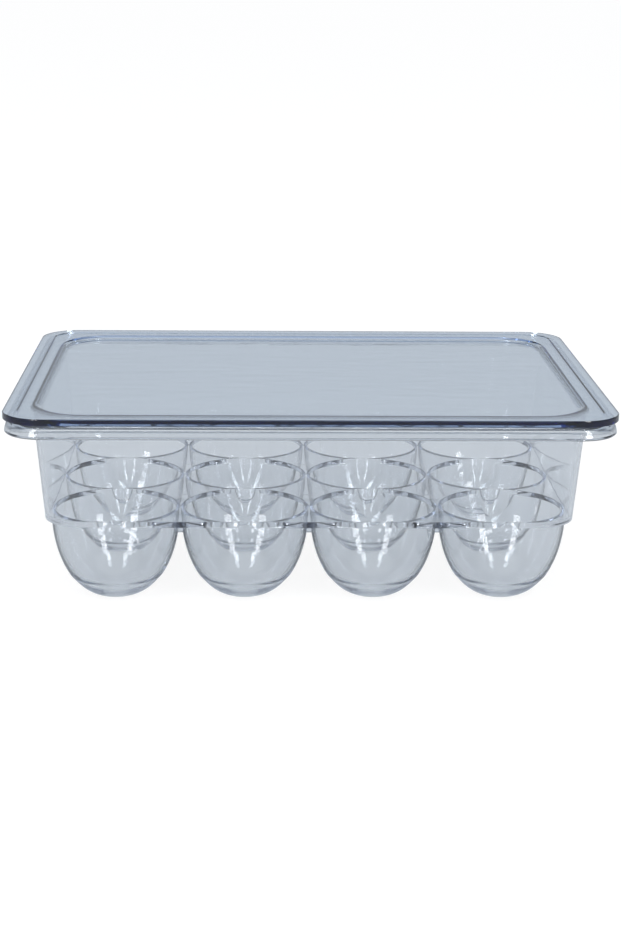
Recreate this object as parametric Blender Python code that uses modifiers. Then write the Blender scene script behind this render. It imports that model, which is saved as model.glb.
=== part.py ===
"""Covered egg holder: a clear tray with a deck of round egg cups, and a lift-off lid.

Metres, +Z up. The long side runs along X and the front row of cups faces -Y. The origin is
on the table, under the middle of the tray. The tray is one moulding in life, and so is the
lid: here each is divided into its forms, which meet with a hair of clearance.
"""

import math

import bmesh
import bpy

# Counts
COLUMNS = 4
ROWS = 3
CUP_SEGMENTS = 24
BOWL_STEPS = 6
CORNER_STEPS = 7
LIP_STEPS = 4

# Clearances
CLEARANCE = 0.0003
LID_FIT = 0.0004
SHARP_ANGLE = math.radians(35)

# Cups
MOUTH_RADIUS = 0.0228
COLUMN_WEB = 0.0039
ROW_WEB = 0.0018
CUP_WALL = 0.0016
MOUTH_FLARE = 0.0012
BOWL_HEIGHT = 0.0275
CUP_HEIGHT = 0.0331
FLOOR_THICKNESS = 0.0026
FLOOR_RADIUS = 0.0050
FOOT_RADIUS = 0.0060

# Deck and walls
DECK_THICKNESS = 0.0021
DECK_CORNER = 0.0162
END_MARGIN = 0.0019
SIDE_MARGIN = 0.0001
WALL = 0.0015
WALL_HEIGHT = 0.0370
WALL_LEAN = 0.0034

# Rim
FLANGE_THICKNESS = 0.0019
RIM_WIDTH = 0.0092
RIM_CORNER = 0.0150
LIP_HEIGHT = 0.0049
LIP_FLARE = 0.0026
LIP_WALL = 0.0017

# Lid
LID_OVERHANG = 0.0005
LID_THICKNESS = 0.0026
LID_EDGE = 0.0005
LID_STEP_INSET = 0.0055
LID_STEP_HEIGHT = 0.0004
LOCATOR_WALL = 0.0014
LOCATOR_DEPTH = 0.0022
RECESS_SLOPE = 0.0024
PANEL_THICKNESS = 0.0024

# Places that follow from the sizes
COLUMN_PITCH = 2 * MOUTH_RADIUS + COLUMN_WEB
ROW_PITCH = 2 * MOUTH_RADIUS + ROW_WEB
CUP_RADIUS = MOUTH_RADIUS + (min(ROW_WEB, COLUMN_WEB) - CLEARANCE) / 2
DECK_BOTTOM = CUP_HEIGHT + CLEARANCE
DECK_TOP = DECK_BOTTOM + DECK_THICKNESS
DECK_HALF_X = (COLUMNS - 1) / 2 * COLUMN_PITCH + MOUTH_RADIUS + END_MARGIN + WALL
DECK_HALF_Y = (ROWS - 1) / 2 * ROW_PITCH + MOUTH_RADIUS + SIDE_MARGIN + WALL
WALL_BOTTOM = DECK_TOP + CLEARANCE
WALL_TOP = WALL_BOTTOM + WALL_HEIGHT
FLANGE_BOTTOM = WALL_TOP + CLEARANCE
FLANGE_TOP = FLANGE_BOTTOM + FLANGE_THICKNESS
MOUTH_OUT = WALL_LEAN - WALL
MOUTH_CORNER = DECK_CORNER + MOUTH_OUT
LIP_OUT = WALL_LEAN + RIM_WIDTH
LID_OUT = LIP_OUT + LID_OVERHANG
LID_CORNER = RIM_CORNER + LID_OVERHANG
LOCATOR_OUT = MOUTH_OUT - LID_FIT
LOCATOR_CORNER = MOUTH_CORNER - LID_FIT
LID_BOTTOM = FLANGE_TOP + CLEARANCE
LID_TOP = LID_BOTTOM + LID_THICKNESS
LOCATOR_BOTTOM = LID_BOTTOM - LOCATOR_DEPTH
PANEL_TOP = LOCATOR_BOTTOM + PANEL_THICKNESS

# Colours
TRAY_COLOUR = (0.66, 0.72, 0.78, 1.0)
LID_COLOUR = (0.55, 0.60, 0.70, 1.0)
PLASTIC_ROUGHNESS = 0.06
PLASTIC_TRANSMISSION = 0.9


def clear_scene():
    """Remove every object that the scene starts with."""
    for item in list(bpy.data.objects):
        bpy.data.objects.remove(item, do_unlink=True)


def new_collection(name):
    collection = bpy.data.collections.new(name)
    bpy.context.scene.collection.children.link(collection)
    return collection


def clear_plastic(name, colour):
    material = bpy.data.materials.new(name)
    material.use_nodes = True
    shader = material.node_tree.nodes["Principled BSDF"]
    shader.inputs["Base Color"].default_value = colour
    shader.inputs["Roughness"].default_value = PLASTIC_ROUGHNESS
    shader.inputs["Metallic"].default_value = 0.0
    shader.inputs["Transmission Weight"].default_value = PLASTIC_TRANSMISSION
    return material


def add_empty(name, height, collection):
    empty = bpy.data.objects.new(name, None)
    empty.location = (0.0, 0.0, height)
    collection.objects.link(empty)
    return empty


def add_node(name, data, parent, place, collection):
    """Put data in the scene at a world place, held by its parent."""
    node = bpy.data.objects.new(name, data)
    collection.objects.link(node)
    node.parent = parent
    node.location = [at - base for at, base in zip(place, parent.location)]
    return node


def circle_points(radius, centre_x, centre_y):
    points = []
    for step in range(CUP_SEGMENTS):
        turn = 2 * math.pi * step / CUP_SEGMENTS
        points.append((centre_x + radius * math.cos(turn), centre_y + radius * math.sin(turn)))
    return points


def deck_outline(out, corner):
    """The deck's rectangle grown outward, with round corners, anticlockwise from the right."""
    half_x = DECK_HALF_X + out
    half_y = DECK_HALF_Y + out
    points = []
    for quarter in range(4):
        side_x = 1 if quarter in (0, 3) else -1
        side_y = 1 if quarter in (0, 1) else -1
        for step in range(CORNER_STEPS + 1):
            turn = math.pi / 2 * (quarter + step / CORNER_STEPS)
            points.append((side_x * (half_x - corner) + corner * math.cos(turn),
                           side_y * (half_y - corner) + corner * math.sin(turn)))
    return points


def flat_plate(name, outlines, thickness, material):
    """A level plate from one outer outline and the outlines of its holes."""
    curve = bpy.data.curves.new(name, "CURVE")
    curve.dimensions = "2D"
    curve.fill_mode = "BOTH"
    curve.extrude = thickness / 2
    for outline in outlines:
        spline = curve.splines.new("POLY")
        spline.points.add(len(outline) - 1)
        for point, (x, y) in zip(spline.points, outline):
            point.co = (x, y, 0.0, 1.0)
        spline.use_cyclic_u = True
    curve.materials.append(material)
    return curve


def lofted_ring(name, section, material):
    """A ring round the tray from a closed section of loops.

    Each loop is given by its step outward from the deck's edge, its corner and its height.
    """
    shape = bmesh.new()
    loops = []
    for out, corner, height in section:
        outline = deck_outline(out, corner)
        loops.append([shape.verts.new((x, y, height)) for x, y in outline])
    for i, loop in enumerate(loops):
        before = loops[i - 1]
        for j, point in enumerate(loop):
            shape.faces.new((before[j - 1], before[j], point, loop[j - 1]))
    bmesh.ops.recalc_face_normals(shape, faces=shape.faces)
    mesh = bpy.data.meshes.new(name)
    shape.to_mesh(mesh)
    shape.free()
    mesh.shade_smooth()
    mesh.set_sharp_from_angle(angle=SHARP_ANGLE)
    mesh.materials.append(material)
    return mesh


def bowl_arc(foot, radius, low, high):
    """A quarter ellipse from the bowl's side down to its foot, as radius and height."""
    points = []
    for step in range(BOWL_STEPS + 1):
        turn = math.pi / 2 * step / BOWL_STEPS
        points.append((foot + (radius - foot) * math.cos(turn),
                       high - (high - low) * math.sin(turn)))
    return points


def cup_mesh(material):
    """The turned section of a cup, from its floor up the inside and down the outside."""
    inside_radius = CUP_RADIUS - CUP_WALL
    inside = bowl_arc(FLOOR_RADIUS, inside_radius, FLOOR_THICKNESS, BOWL_HEIGHT)
    outside = bowl_arc(FOOT_RADIUS, CUP_RADIUS, 0.0, BOWL_HEIGHT)
    section = [(0.0, FLOOR_THICKNESS)]
    section += reversed(inside)
    section += [(inside_radius, CUP_HEIGHT - MOUTH_FLARE), (MOUTH_RADIUS, CUP_HEIGHT)]
    section += [(CUP_RADIUS, CUP_HEIGHT)]
    section += outside
    section += [(0.0, 0.0)]
    mesh = bpy.data.meshes.new("egg_cup_section")
    edges = [(i, i + 1) for i in range(len(section) - 1)]
    mesh.from_pydata([(radius, 0.0, height) for radius, height in section], edges, [])
    mesh.materials.append(material)
    return mesh


def turn_round(node):
    turning = node.modifiers.new("Turn", "SCREW")
    turning.axis = "Z"
    turning.angle = 2 * math.pi
    turning.steps = CUP_SEGMENTS
    turning.render_steps = CUP_SEGMENTS
    turning.use_merge_vertices = True
    turning.merge_threshold = CLEARANCE / 10
    turning.use_smooth_shade = True


def cup_places():
    """Each cup's name with the place of its foot, row by row from the front left."""
    places = []
    for row in range(ROWS):
        for column in range(COLUMNS):
            x = (column - (COLUMNS - 1) / 2) * COLUMN_PITCH
            y = (row - (ROWS - 1) / 2) * ROW_PITCH
            places.append((f"egg_cup_r{row + 1}_c{column + 1}", x, y))
    return places


def add_cups(tray, material, collection):
    section = cup_mesh(material)
    for name, x, y in cup_places():
        turn_round(add_node(name, section, tray, (x, y, 0.0), collection))


def add_deck(tray, material, collection):
    outlines = [deck_outline(0.0, DECK_CORNER)]
    outlines += [circle_points(MOUTH_RADIUS, x, y) for name, x, y in cup_places()]
    plate = flat_plate("cup_deck", outlines, DECK_THICKNESS, material)
    add_node("cup_deck", plate, tray, (0.0, 0.0, DECK_BOTTOM + DECK_THICKNESS / 2), collection)


def add_wall(tray, material, collection):
    """The leaning wall that stands on the deck's edge."""
    section = [(0.0, DECK_CORNER, WALL_BOTTOM), (WALL_LEAN, DECK_CORNER + WALL_LEAN, WALL_TOP),
               (MOUTH_OUT, MOUTH_CORNER, WALL_TOP), (-WALL, DECK_CORNER - WALL, WALL_BOTTOM)]
    ring = lofted_ring("tray_wall", section, material)
    add_node("tray_wall", ring, tray, (0.0, 0.0, 0.0), collection)


def add_flange(tray, material, collection):
    """The level ring on top of the wall, as far out as the lip's shoulder."""
    inset = LIP_FLARE + CLEARANCE
    outlines = [deck_outline(LIP_OUT - inset, RIM_CORNER - inset),
                deck_outline(MOUTH_OUT, MOUTH_CORNER)]
    plate = flat_plate("rim_flange", outlines, FLANGE_THICKNESS, material)
    middle = FLANGE_BOTTOM + FLANGE_THICKNESS / 2
    add_node("rim_flange", plate, tray, (0.0, 0.0, middle), collection)


def add_lip(tray, material, collection):
    """The drooping lip: its outside curves over from the flange and flares to its edge."""
    profile = []
    for step in range(LIP_STEPS + 1):
        turn = math.pi / 2 * step / LIP_STEPS
        profile.append((LIP_FLARE * (1 - math.sin(turn)),
                        FLANGE_TOP - LIP_HEIGHT * (1 - math.cos(turn))))
    profile.append((LIP_WALL, FLANGE_TOP - LIP_HEIGHT))
    profile.append((LIP_FLARE, FLANGE_BOTTOM))
    section = [(LIP_OUT - inset, RIM_CORNER - inset, height) for inset, height in profile]
    ring = lofted_ring("rim_lip", section, material)
    add_node("rim_lip", ring, tray, (0.0, 0.0, 0.0), collection)


def add_lid_rim(lid, material, collection):
    """The lid's flat border, with the locating wall that drops inside the tray's mouth."""
    band_top = LID_TOP - LID_STEP_HEIGHT
    border = [(0.0, LID_BOTTOM + LID_EDGE), (0.0, band_top - LID_EDGE), (LID_EDGE, band_top),
              (LID_STEP_INSET, band_top), (LID_STEP_INSET + LID_STEP_HEIGHT, LID_TOP)]
    recess = [(RECESS_SLOPE - LOCATOR_WALL, LID_TOP), (-LOCATOR_WALL, PANEL_TOP),
              (-LOCATOR_WALL, LOCATOR_BOTTOM), (0.0, LOCATOR_BOTTOM), (0.0, LID_BOTTOM)]
    edge = [(LID_EDGE, LID_BOTTOM)]
    section = [(LID_OUT - inset, LID_CORNER - inset, height) for inset, height in border]
    section += [(LOCATOR_OUT + out, LOCATOR_CORNER + out, height) for out, height in recess]
    section += [(LID_OUT - inset, LID_CORNER - inset, height) for inset, height in edge]
    section = [(out, corner, height - LID_BOTTOM) for out, corner, height in section]
    ring = lofted_ring("lid_rim", section, material)
    add_node("lid_rim", ring, lid, (0.0, 0.0, LID_BOTTOM), collection)


def add_lid_panel(lid, material, collection):
    """The sunk middle of the lid, flush with the foot of the border's slope."""
    inset = LOCATOR_WALL + CLEARANCE
    outline = deck_outline(LOCATOR_OUT - inset, LOCATOR_CORNER - inset)
    plate = flat_plate("lid_panel", [outline], PANEL_THICKNESS, material)
    middle = LOCATOR_BOTTOM + PANEL_THICKNESS / 2
    add_node("lid_panel", plate, lid, (0.0, 0.0, middle), collection)


def main():
    clear_scene()
    collection = new_collection("egg_holder")
    tray = add_empty("tray", 0.0, collection)
    lid = add_empty("lid", LID_BOTTOM, collection)
    tray_plastic = clear_plastic("tray_plastic", TRAY_COLOUR)
    lid_plastic = clear_plastic("lid_plastic", LID_COLOUR)
    add_cups(tray, tray_plastic, collection)
    add_deck(tray, tray_plastic, collection)
    add_wall(tray, tray_plastic, collection)
    add_flange(tray, tray_plastic, collection)
    add_lip(tray, tray_plastic, collection)
    add_lid_rim(lid, lid_plastic, collection)
    add_lid_panel(lid, lid_plastic, collection)


main()
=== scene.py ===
import math

import bmesh
import bpy
from mathutils import Matrix, Vector


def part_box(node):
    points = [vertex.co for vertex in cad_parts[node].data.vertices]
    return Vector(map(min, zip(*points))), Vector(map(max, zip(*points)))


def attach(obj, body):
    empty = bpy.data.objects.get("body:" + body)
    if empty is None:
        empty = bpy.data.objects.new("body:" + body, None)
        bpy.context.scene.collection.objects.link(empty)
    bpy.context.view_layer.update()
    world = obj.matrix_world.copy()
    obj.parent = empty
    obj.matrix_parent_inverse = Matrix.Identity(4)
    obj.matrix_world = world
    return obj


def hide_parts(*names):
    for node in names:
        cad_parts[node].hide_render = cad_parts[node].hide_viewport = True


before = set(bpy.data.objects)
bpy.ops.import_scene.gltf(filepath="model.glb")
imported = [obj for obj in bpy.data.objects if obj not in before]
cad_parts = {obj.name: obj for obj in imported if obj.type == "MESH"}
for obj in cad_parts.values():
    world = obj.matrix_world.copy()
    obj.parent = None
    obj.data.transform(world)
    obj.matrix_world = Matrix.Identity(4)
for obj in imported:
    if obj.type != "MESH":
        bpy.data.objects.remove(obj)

scene = bpy.context.scene

# The photograph and its camera, as fitted to the cups' mouths, the walls and the lid
PHOTO_HEIGHT = 931
FOCAL_PIXELS = 1928
SENSOR = 36.0
CAMERA_PLACE = (-0.0211, -0.7602, 0.2415)
CAMERA_YAW = 0.0301
CAMERA_PITCH = -0.2609
CAMERA_ROLL = 0.0101
CAMERA_NEAR = 0.01

# Sizes of the tray, as its solids have them
WALL = 0.0015
DECK_CORNER = 0.0162
RIM_CORNER = 0.0150

# Fine sizes of the tray that its solids leave out
CUP_TOP_RADIUS = 0.0245
CUP_FOOT_RADIUS = 0.0050
CUP_ROOT = 0.0012
MOUTH_RADIUS = 0.0235
MOUTH_FILLET = 0.0002
MOUTH_CUT = 0.0003
BOWL_FOOT_RADIUS = 0.0048
BOWL_FLOOR = 0.0024
WEB_WIDTH = 0.0030
WEB_BOTTOM = 0.0248
DECK_FILLET = 0.0002
RIM_FILLET = 0.0008
FLANGE_FILLET = 0.0010
LIP_ROUND = 0.0006
LIP_WALL = 0.0017
LIP_FLARE = 0.0026

# The round base of a cup, outside and inside, as heights and radii
CUP_BASE = ((0.0086, 0.01806), (0.0065, 0.0162), (0.0048, 0.0146), (0.0032, 0.01275),
            (0.0017, 0.0103), (0.0006, 0.0076), (0.00015, 0.0056), (0.0, 0.0038))
BOWL_BASE = ((0.0094, 0.01615), (0.0076, 0.0145), (0.0062, 0.0130), (0.0049, 0.0112),
             (0.0038, 0.0090), (0.0030, 0.0069), (0.0027, 0.0051))

# Fine sizes of the lid
LID_ROUND = 0.00035
LID_BORDER_RISE = 0.0022
LID_STEP = 0.0004
LID_STEP_INSET = 0.0055
LID_STEP_HALF = 0.0002
LID_SLOPE = 0.0024
LID_PANEL_GAP = 0.0003
LID_RECESS = 0.0012
LID_UNDER_SHIFT = 0.0010

# How finely the shapes are drawn, and how far cutters run past what they cut
CUP_SEGMENTS = 96
ARC_STEPS = 12
BOWL_STEPS = 20
BASE_STEPS = 4
CORNER_STEPS = 12
OVERRUN = 0.0040
PRISM_SHY = 0.00002
PLACE_DIGITS = 4
SHARP = math.radians(11)

# The clear plastics: interface colour, depth colour and its density, haze and ripple height
PLASTIC_IOR = 1.57
TRAY_SHADE = (0.99, 0.995, 1.0, 1.0)
TRAY_TINT = (0.13, 0.22, 0.38, 1.0)
TRAY_DENSITY = 18.0
TRAY_HAZE = 0.012
TRAY_RIPPLE = 0.000003
LID_SHADE = (0.98, 0.99, 0.96, 1.0)
LID_TINT = (0.06, 0.32, 0.72, 1.0)
LID_DENSITY = 66.0
LID_HAZE = 0.0
LID_RIPPLE = 0.00005

# Flow marks in the plastics, in waves per metre, and the roughness that they bring
FLOW_SCALE = (22.0, 60.0, 60.0)
FLOW_DETAIL = 2.0
FLOW_RANGE = (0.35, 0.75)
GLOSS = (0.0, 0.010)

# The floor: its paper, the tone seen beside the part, and a painted shade: a darker blue-grey tone that
# the floor shows only through and in the plastic
FLOOR_HALF = 30.0
PAPER = (0.85, 0.86, 0.88, 1.0)
PAPER_ROUGHNESS = 0.9
PAPER_SPECULAR = 0.1
FLOOR_SEEN = (1.10, 1.10, 1.10, 1.0)
# Painted shade: the floor glows this darker blue-grey only to glossy and transmission rays, so the
# plastic looks darker
PAINTED_SHADE_THROUGH = (0.545, 0.595, 0.65, 1.0)
GLOW_SHARE = 0.82

# The room, as colours by the height of the view, and what the camera sees of it
ROOM = ((0.0, (0.60, 0.64, 0.69)),
        (0.08, (0.57, 0.61, 0.66)),
        (0.38, (0.56, 0.60, 0.65)),
        (0.50, (0.13, 0.15, 0.18)),
        (0.70, (0.13, 0.15, 0.18)),
        (0.84, (0.95, 0.95, 0.95)))
ROOM_SEEN = (1.0, 1.0, 1.0, 1.0)

# Two upright strip lamps in front of the part
STRIP_LEFT = (-0.72, -1.02)
STRIP_RIGHT = (0.68, -1.04)
STRIP_MIDDLE = 1.52
STRIP_SIZE = (0.30, 2.90)
STRIP_POWER = 23.0
LIGHT_BOUNCES = 32


def box_of(node):
    low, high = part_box(node)
    return Vector(low), Vector(high)


# Places read from the frame
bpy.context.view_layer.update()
deck_low, deck_high = box_of("cup_deck")
wall_low, wall_high = box_of("tray_wall")
flange_low, flange_high = box_of("rim_flange")
lip_low, lip_high = box_of("rim_lip")
lid_low, lid_high = box_of("lid_rim")
panel_low, panel_high = box_of("lid_panel")
DECK_BOTTOM = deck_low.z
DECK_TOP = deck_high.z
FLANGE_BOTTOM = flange_low.z
FLANGE_TOP = flange_high.z
LIP_BOTTOM = lip_low.z
DECK_HALF = Vector((deck_high.x, deck_high.y))
WALL_TOP_OUT = wall_high.x - deck_high.x
WALL_LEAN = WALL_TOP_OUT / (wall_high.z - DECK_TOP)
LIP_OUT = lip_high.x - deck_high.x
LID_OUT = lid_high.x - deck_high.x
PANEL_OUT = panel_high.x - deck_high.x


def cup_places():
    """Each cup's node with the place of its axis."""
    places = {}
    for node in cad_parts:
        if node.startswith("egg_cup"):
            low, high = box_of(node)
            places[node] = ((low.x + high.x) / 2, (low.y + high.y) / 2)
    return places


def add_mesh(name, shape):
    """A new object from a bmesh, with its faces pointing out."""
    mesh = bpy.data.meshes.new(name)
    bmesh.ops.recalc_face_normals(shape, faces=shape.faces)
    shape.to_mesh(mesh)
    shape.free()
    piece = bpy.data.objects.new(name, mesh)
    scene.collection.objects.link(piece)
    return piece


def outline(out, corner, height):
    """The deck's rectangle grown outward, as points at one height."""
    half_x = DECK_HALF.x + out
    half_y = DECK_HALF.y + out
    points = []
    for quarter in range(4):
        side_x = 1 if quarter in (0, 3) else -1
        side_y = 1 if quarter in (0, 1) else -1
        for step in range(CORNER_STEPS + 1):
            turn = math.pi / 2 * (quarter + step / CORNER_STEPS)
            points.append((side_x * (half_x - corner) + corner * math.cos(turn),
                           side_y * (half_y - corner) + corner * math.sin(turn), height))
    return points


def loft(name, loops):
    """A closed solid through loops of equal count, with a flat cap at each end."""
    shape = bmesh.new()
    rings = [[shape.verts.new(point) for point in loop] for loop in loops]
    for low, high in zip(rings, rings[1:]):
        for i in range(len(low)):
            shape.faces.new((low[i - 1], low[i], high[i], high[i - 1]))
    shape.faces.new(rings[0])
    shape.faces.new(rings[-1])
    return add_mesh(name, shape)


def turned(name, profile, place):
    """A closed solid turned about an upright axis from a profile of radius and height."""
    loops = []
    for radius, height in profile:
        loop = []
        for step in range(CUP_SEGMENTS):
            turn = 2 * math.pi * step / CUP_SEGMENTS
            loop.append((place[0] + radius * math.cos(turn), place[1] + radius * math.sin(turn),
                         height))
        loops.append(loop)
    return loft(name, loops)


def arc(steps, first, last):
    """Angles from the first to the last in equal steps."""
    return [first + (last - first) * step / steps for step in range(steps + 1)]


def eased(points):
    """A smooth curve of more points through a few, as a Catmull-Rom spline."""
    first, last = points[0], points[-1]
    before = tuple(2 * a - b for a, b in zip(first, points[1]))
    after = tuple(2 * a - b for a, b in zip(last, points[-2]))
    path = [Vector(point) for point in (before,) + tuple(points) + (after,)]
    curve = []
    for a, b, c, d in zip(path, path[1:], path[2:], path[3:]):
        for step in range(BASE_STEPS):
            t = step / BASE_STEPS
            bend = (2 * a - 5 * b + 4 * c - d) * t * t + (3 * b - a - 3 * c + d) * t * t * t
            curve.append(b + ((c - a) * t + bend) / 2)
    return curve + [path[-2]]


def bowl_profile(radius, foot, top, bottom, base):
    """An ellipse down a cup's side to the top of its base, then the base itself."""
    crease = math.asin((top - base[0][0]) / (top - bottom))
    side = [(foot + (radius - foot) * math.cos(turn), top - (top - bottom) * math.sin(turn))
            for turn in arc(BOWL_STEPS, 0.0, crease)]
    return side[:-1] + [(wide, height) for height, wide in eased(base)]


def outer_cup(name, place):
    """A cup's outside, with a root that reaches into the deck."""
    profile = bowl_profile(CUP_TOP_RADIUS, CUP_FOOT_RADIUS, DECK_BOTTOM, 0.0, CUP_BASE)
    profile.insert(0, (profile[0][0], DECK_BOTTOM + CUP_ROOT))
    return turned(name, profile, place)


def inner_cup(name, place):
    """A cup's hollow, with the small round that opens its mouth into the deck."""
    profile = [(MOUTH_RADIUS + MOUTH_FILLET, DECK_TOP + MOUTH_CUT)]
    for turn in arc(ARC_STEPS, 0.0, math.pi / 2)[:-1]:
        profile.append((MOUTH_RADIUS + MOUTH_FILLET * (1 - math.sin(turn)),
                        DECK_TOP - MOUTH_FILLET * (1 - math.cos(turn))))
    profile += bowl_profile(MOUTH_RADIUS, BOWL_FOOT_RADIUS, DECK_TOP - MOUTH_FILLET, BOWL_FLOOR,
                            BOWL_BASE)
    return turned(name, profile, place)


def cup_web(name, place):
    """The short web that closes the slit between two cups of a row."""
    half = WEB_WIDTH / 2
    loops = []
    for height in (WEB_BOTTOM, DECK_BOTTOM + CUP_ROOT / 2):
        loops.append([(place[0] - half, place[1] - half, height),
                      (place[0] + half, place[1] - half, height),
                      (place[0] + half, place[1] + half, height),
                      (place[0] - half, place[1] + half, height)])
    return loft(name, loops)


def cut(piece, tool, operation):
    """Join, cut or trim one solid by another, which is used up."""
    joining = piece.modifiers.new(operation, "BOOLEAN")
    joining.operation = operation
    joining.solver = "MANIFOLD"
    joining.object = tool
    bpy.context.view_layer.update()
    graph = bpy.context.evaluated_depsgraph_get()
    mesh = bpy.data.meshes.new_from_object(piece.evaluated_get(graph))
    piece.modifiers.remove(joining)
    old = piece.data
    piece.data = mesh
    bpy.data.meshes.remove(old)
    bpy.data.objects.remove(tool, do_unlink=True)


def wall_out(height):
    """How far the wall's outside stands out from the deck's edge at a height."""
    return WALL_LEAN * (height - DECK_TOP)


def lip_section():
    """The lip's section as insets and heights: up its inside, round its tip, up its outside."""
    inside = [(LIP_WALL + LIP_FLARE * (1 - math.sin(turn)),
               FLANGE_BOTTOM - (FLANGE_BOTTOM - LIP_BOTTOM) * (1 - math.cos(turn)))
              for turn in arc(ARC_STEPS, 0.0, math.pi / 2)]
    outside = [(LIP_FLARE * (1 - math.sin(turn)),
                FLANGE_TOP - (FLANGE_TOP - LIP_BOTTOM) * (1 - math.cos(turn)))
               for turn in arc(ARC_STEPS, math.pi / 2, 0.0)]
    tip_top = LIP_BOTTOM + LIP_ROUND
    tip = [(LIP_WALL - LIP_ROUND, LIP_BOTTOM), (LIP_ROUND, LIP_BOTTOM)]
    return ([point for point in inside if point[1] > tip_top] + tip
            + [point for point in outside if point[1] > tip_top])


def outer_block():
    """The tray's outside without cups, from the deck's underside to the flange's top."""
    loops = []
    for height in (DECK_BOTTOM, FLANGE_BOTTOM - FLANGE_FILLET):
        out = wall_out(height)
        loops.append(outline(out, DECK_CORNER + out, height))
    out = wall_out(FLANGE_BOTTOM)
    for turn in arc(ARC_STEPS, 0.0, math.pi / 2)[1:]:
        step = out + FLANGE_FILLET * (1 - math.cos(turn))
        loops.append(outline(step, DECK_CORNER + step,
                             FLANGE_BOTTOM - FLANGE_FILLET * (1 - math.sin(turn))))
    for inset, height in lip_section():
        loops.append(outline(LIP_OUT - inset, RIM_CORNER - inset, height))
    return loft("tray_moulding", loops)


def cavity():
    """The hollow above the deck, with a round foot and a round brim."""
    loops = []
    base = wall_out(DECK_TOP) - WALL
    for turn in arc(ARC_STEPS, 0.0, math.pi / 2):
        step = base - DECK_FILLET * (1 - math.sin(turn))
        height = DECK_TOP + DECK_FILLET * (1 - math.cos(turn))
        loops.append(outline(step, DECK_CORNER + step, height))
    top = wall_out(FLANGE_TOP - RIM_FILLET) - WALL
    for turn in arc(ARC_STEPS, 0.0, math.pi / 2):
        step = top + RIM_FILLET * (1 - math.cos(turn))
        height = FLANGE_TOP - RIM_FILLET * (1 - math.sin(turn))
        loops.append(outline(step, DECK_CORNER + step, height))
    step = top + RIM_FILLET
    loops.append(outline(step, DECK_CORNER + step, FLANGE_TOP + OVERRUN))
    return loft("cavity", loops)


def trim_prism():
    """The wall's outside carried down past the cups, a hair inside it."""
    loops = []
    for height in (-OVERRUN, DECK_BOTTOM + CUP_ROOT + OVERRUN):
        out = wall_out(max(height, DECK_BOTTOM)) - PRISM_SHY
        loops.append(outline(out, DECK_CORNER + out, height))
    return loft("trim_prism", loops)


def finish_shading(piece):
    """Smooth shading with crisp edges, where large faces count for more than small ones."""
    piece.data.shade_smooth()
    piece.data.set_sharp_from_angle(angle=SHARP)
    weights = piece.modifiers.new("Even normals", "WEIGHTED_NORMAL")
    weights.keep_sharp = True


def joined_cups(places):
    """All the cups' outsides as one solid, with the webs between them, within the walls."""
    outsides = [outer_cup(node + "_outside", place) for node, place in places.items()]
    cups = outsides[0]
    for piece in outsides[1:]:
        cut(cups, piece, "UNION")
    rows = sorted({round(place[1], PLACE_DIGITS) for place in places.values()})
    columns = sorted({round(place[0], PLACE_DIGITS) for place in places.values()})
    for row in rows:
        for left, right in zip(columns, columns[1:]):
            cut(cups, cup_web("web", ((left + right) / 2, row)), "UNION")
    cut(cups, trim_prism(), "INTERSECT")
    return cups


def make_tray(material):
    """The tray: one moulding of walls, flange, lip, deck and twelve cups."""
    places = cup_places()
    cups = joined_cups(places)
    tray = outer_block()
    cut(tray, cups, "UNION")
    cut(tray, cavity(), "DIFFERENCE")
    for node, place in places.items():
        cut(tray, inner_cup(node + "_inside", place), "DIFFERENCE")
    finish_shading(tray)
    tray.data.materials.clear()
    tray.data.materials.append(material)
    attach(tray, "tray")
    nodes = list(places) + ["cup_deck", "tray_wall", "rim_flange", "rim_lip"]
    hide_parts(*nodes)
    return tray


def make_lid(material):
    """The lid: one sheet, with a fine step down inside its edge and a slope to its panel."""
    top = lid_high.z
    bottom = lid_low.z + LID_BORDER_RISE
    ledge = top - LID_STEP
    foot = PANEL_OUT + LID_PANEL_GAP
    head = foot + LID_SLOPE
    corner = RIM_CORNER + LID_OUT - LIP_OUT
    loops = []
    for step, height in ((foot, bottom - LID_RECESS), (head, bottom)):
        step += LID_UNDER_SHIFT
        loops.append(outline(step, DECK_CORNER + step, height))
    for turn in arc(ARC_STEPS, -math.pi / 2, 0.0):
        inset = LID_ROUND * (1 - math.cos(turn))
        height = bottom + LID_ROUND * (1 + math.sin(turn))
        loops.append(outline(LID_OUT - inset, corner - inset, height))
    for turn in arc(ARC_STEPS, 0.0, math.pi / 2):
        inset = LID_ROUND * (1 - math.cos(turn))
        height = top - LID_ROUND * (1 - math.sin(turn))
        loops.append(outline(LID_OUT - inset, corner - inset, height))
    for inset, height in ((LID_STEP_INSET - LID_STEP_HALF, top), (LID_STEP_INSET + LID_STEP_HALF, ledge)):
        loops.append(outline(LID_OUT - inset, corner - inset, height))
    loops.append(outline(head, DECK_CORNER + head, ledge))
    loops.append(outline(foot, DECK_CORNER + foot, ledge - LID_RECESS))
    lid = loft("lid_moulding", loops)
    finish_shading(lid)
    lid.data.materials.append(material)
    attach(lid, "lid")
    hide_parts("lid_rim", "lid_panel")
    return lid


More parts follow.
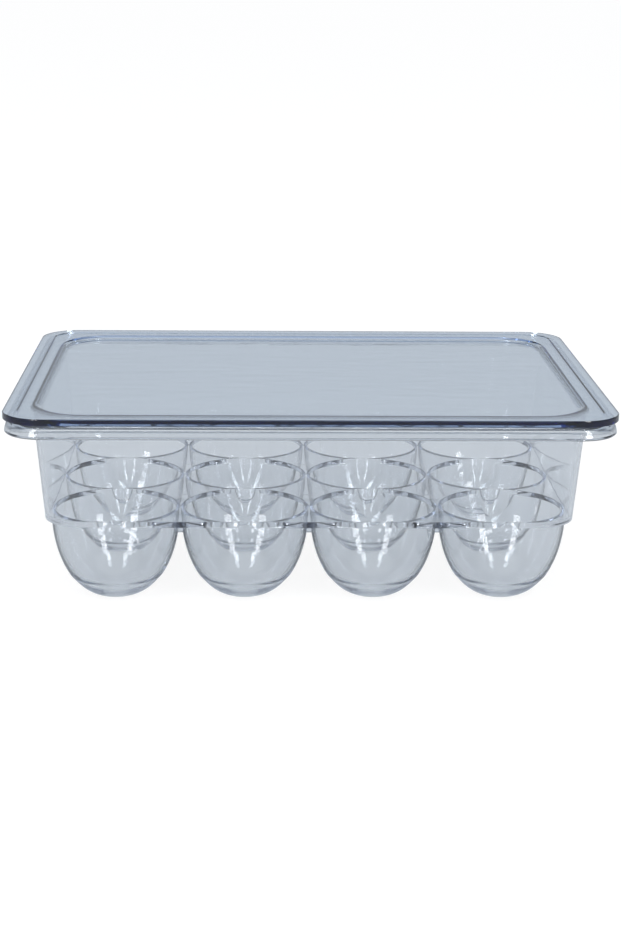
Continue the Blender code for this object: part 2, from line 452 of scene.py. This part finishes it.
def clear_plastic(name, shade, tint, density, haze, ripple):
    """Clear plastic whose colour comes from its depth, with faint flow marks."""
    material = bpy.data.materials.new(name)
    material.use_nodes = True
    tree = material.node_tree
    shader = tree.nodes["Principled BSDF"]
    shader.inputs["Base Color"].default_value = shade
    shader.inputs["IOR"].default_value = PLASTIC_IOR
    shader.inputs["Transmission Weight"].default_value = 1.0 - haze
    place = tree.nodes.new("ShaderNodeTexCoord")
    stretch = tree.nodes.new("ShaderNodeMapping")
    stretch.inputs["Scale"].default_value = FLOW_SCALE
    flow = tree.nodes.new("ShaderNodeTexNoise")
    flow.inputs["Scale"].default_value = 1.0
    flow.inputs["Detail"].default_value = FLOW_DETAIL
    tree.links.new(place.outputs["Object"], stretch.inputs["Vector"])
    tree.links.new(stretch.outputs["Vector"], flow.inputs["Vector"])
    gloss = tree.nodes.new("ShaderNodeMapRange")
    gloss.inputs["From Min"].default_value = FLOW_RANGE[0]
    gloss.inputs["From Max"].default_value = FLOW_RANGE[1]
    gloss.inputs["To Min"].default_value = GLOSS[0]
    gloss.inputs["To Max"].default_value = GLOSS[1]
    tree.links.new(flow.outputs["Fac"], gloss.inputs["Value"])
    tree.links.new(gloss.outputs["Result"], shader.inputs["Roughness"])
    wave = tree.nodes.new("ShaderNodeBump")
    wave.inputs["Strength"].default_value = 1.0
    wave.inputs["Distance"].default_value = ripple
    tree.links.new(flow.outputs["Fac"], wave.inputs["Height"])
    tree.links.new(wave.outputs["Normal"], shader.inputs["Normal"])
    depth = tree.nodes.new("ShaderNodeVolumeAbsorption")
    depth.inputs["Color"].default_value = tint
    depth.inputs["Density"].default_value = density
    tree.links.new(depth.outputs["Volume"], tree.nodes["Material Output"].inputs["Volume"])
    return material


def math_node(tree, operation, first, second):
    """A maths node fed by a socket and by a socket or a number; returns its output."""
    node = tree.nodes.new("ShaderNodeMath")
    node.operation = operation
    tree.links.new(first, node.inputs[0])
    if isinstance(second, float):
        node.inputs[1].default_value = second
    else:
        tree.links.new(second, node.inputs[1])
    return node.outputs[0]


def make_stage():
    """The floor: white beside the part, with its soft shadow, and a painted shade of pale blue-grey that
    glossy and transmission rays see through and in the plastic.
    """
    shape = bmesh.new()
    bmesh.ops.create_grid(shape, x_segments=1, y_segments=1, size=FLOOR_HALF)
    floor = add_mesh("floor", shape)
    material = bpy.data.materials.new("floor_paper")
    material.use_nodes = True
    tree = material.node_tree
    shader = tree.nodes["Principled BSDF"]
    shader.inputs["Base Color"].default_value = PAPER
    shader.inputs["Roughness"].default_value = PAPER_ROUGHNESS
    shader.inputs["Specular IOR Level"].default_value = PAPER_SPECULAR
    path = tree.nodes.new("ShaderNodeLightPath")
    # Painted shade: the glow is white to the camera and the darker blue-grey painted shade to glossy and
    # transmission rays
    tone = tree.nodes.new("ShaderNodeMix")
    tone.data_type = "RGBA"
    tone.inputs["A"].default_value = PAINTED_SHADE_THROUGH
    tone.inputs["B"].default_value = FLOOR_SEEN
    tree.links.new(path.outputs["Is Camera Ray"], tone.inputs["Factor"])
    glow_and_painted_shade = tree.nodes.new("ShaderNodeEmission")
    tree.links.new(tone.outputs["Result"], glow_and_painted_shade.inputs["Color"])
    mirrored = math_node(tree, "MAXIMUM", path.outputs["Is Glossy Ray"],
                         path.outputs["Is Transmission Ray"])
    shown = math_node(tree, "MAXIMUM", path.outputs["Is Camera Ray"], mirrored)
    mix = tree.nodes.new("ShaderNodeMixShader")
    tree.links.new(math_node(tree, "MULTIPLY", shown, GLOW_SHARE), mix.inputs["Fac"])
    tree.links.new(shader.outputs["BSDF"], mix.inputs[1])
    tree.links.new(glow_and_painted_shade.outputs["Emission"], mix.inputs[2])
    tree.links.new(mix.outputs["Shader"], tree.nodes["Material Output"].inputs["Surface"])
    floor.data.materials.append(material)


def make_world():
    """A room of blue-grey walls, a dark band above and a bright ceiling, white to the camera."""
    world = bpy.data.worlds.new("studio")
    scene.world = world
    world.use_nodes = True
    tree = world.node_tree
    back = tree.nodes["Background"]
    place = tree.nodes.new("ShaderNodeTexCoord")
    split = tree.nodes.new("ShaderNodeSeparateXYZ")
    ramp = tree.nodes.new("ShaderNodeValToRGB")
    ramp.color_ramp.elements[0].position = ROOM[0][0]
    ramp.color_ramp.elements[0].color = ROOM[0][1] + (1.0,)
    ramp.color_ramp.elements[1].position = ROOM[-1][0]
    ramp.color_ramp.elements[1].color = ROOM[-1][1] + (1.0,)
    for position, colour in ROOM[1:-1]:
        ramp.color_ramp.elements.new(position).color = colour + (1.0,)
    tree.links.new(place.outputs["Generated"], split.inputs["Vector"])
    tree.links.new(split.outputs["Z"], ramp.inputs["Fac"])
    path = tree.nodes.new("ShaderNodeLightPath")
    tone = tree.nodes.new("ShaderNodeMix")
    tone.data_type = "RGBA"
    tone.inputs["B"].default_value = ROOM_SEEN
    tree.links.new(path.outputs["Is Camera Ray"], tone.inputs["Factor"])
    tree.links.new(ramp.outputs["Color"], tone.inputs["A"])
    tree.links.new(tone.outputs["Result"], back.inputs["Color"])


def add_strip(name, place):
    """An upright strip lamp that faces the part's upright axis."""
    light = bpy.data.lights.new(name, "AREA")
    light.shape = "RECTANGLE"
    light.size = STRIP_SIZE[0]
    light.size_y = STRIP_SIZE[1]
    light.energy = STRIP_POWER
    lamp = bpy.data.objects.new(name, light)
    lamp.location = (place[0], place[1], STRIP_MIDDLE)
    toward = Vector((-place[0], -place[1], 0.0))
    lamp.rotation_euler = toward.to_track_quat("-Z", "Y").to_euler()
    scene.collection.objects.link(lamp)


def make_camera():
    yaw, pitch, roll = CAMERA_YAW, CAMERA_PITCH, CAMERA_ROLL
    ahead = Vector((math.sin(yaw) * math.cos(pitch), math.cos(yaw) * math.cos(pitch),
                    math.sin(pitch)))
    right = Vector((math.cos(yaw), -math.sin(yaw), 0.0))
    above = right.cross(ahead)
    side = right * math.cos(roll) + above * math.sin(roll)
    rise = above * math.cos(roll) - right * math.sin(roll)
    data = bpy.data.cameras.new("camera")
    data.sensor_width = SENSOR
    data.lens = FOCAL_PIXELS / PHOTO_HEIGHT * SENSOR
    data.clip_start = CAMERA_NEAR
    camera = bpy.data.objects.new("camera", data)
    turn = Matrix((side, rise, -ahead)).transposed().to_4x4()
    camera.matrix_world = Matrix.Translation(CAMERA_PLACE) @ turn
    scene.collection.objects.link(camera)
    scene.camera = camera


def main():
    make_tray(clear_plastic("tray_plastic", TRAY_SHADE, TRAY_TINT, TRAY_DENSITY, TRAY_HAZE,
                            TRAY_RIPPLE))
    make_lid(clear_plastic("lid_plastic", LID_SHADE, LID_TINT, LID_DENSITY, LID_HAZE, LID_RIPPLE))
    make_stage()
    make_world()
    add_strip("strip_left", STRIP_LEFT)
    add_strip("strip_right", STRIP_RIGHT)
    make_camera()
    scene.view_settings.view_transform = "Standard"
    scene.cycles.max_bounces = LIGHT_BOUNCES
    scene.cycles.transmission_bounces = LIGHT_BOUNCES
    scene.cycles.glossy_bounces = LIGHT_BOUNCES


main()
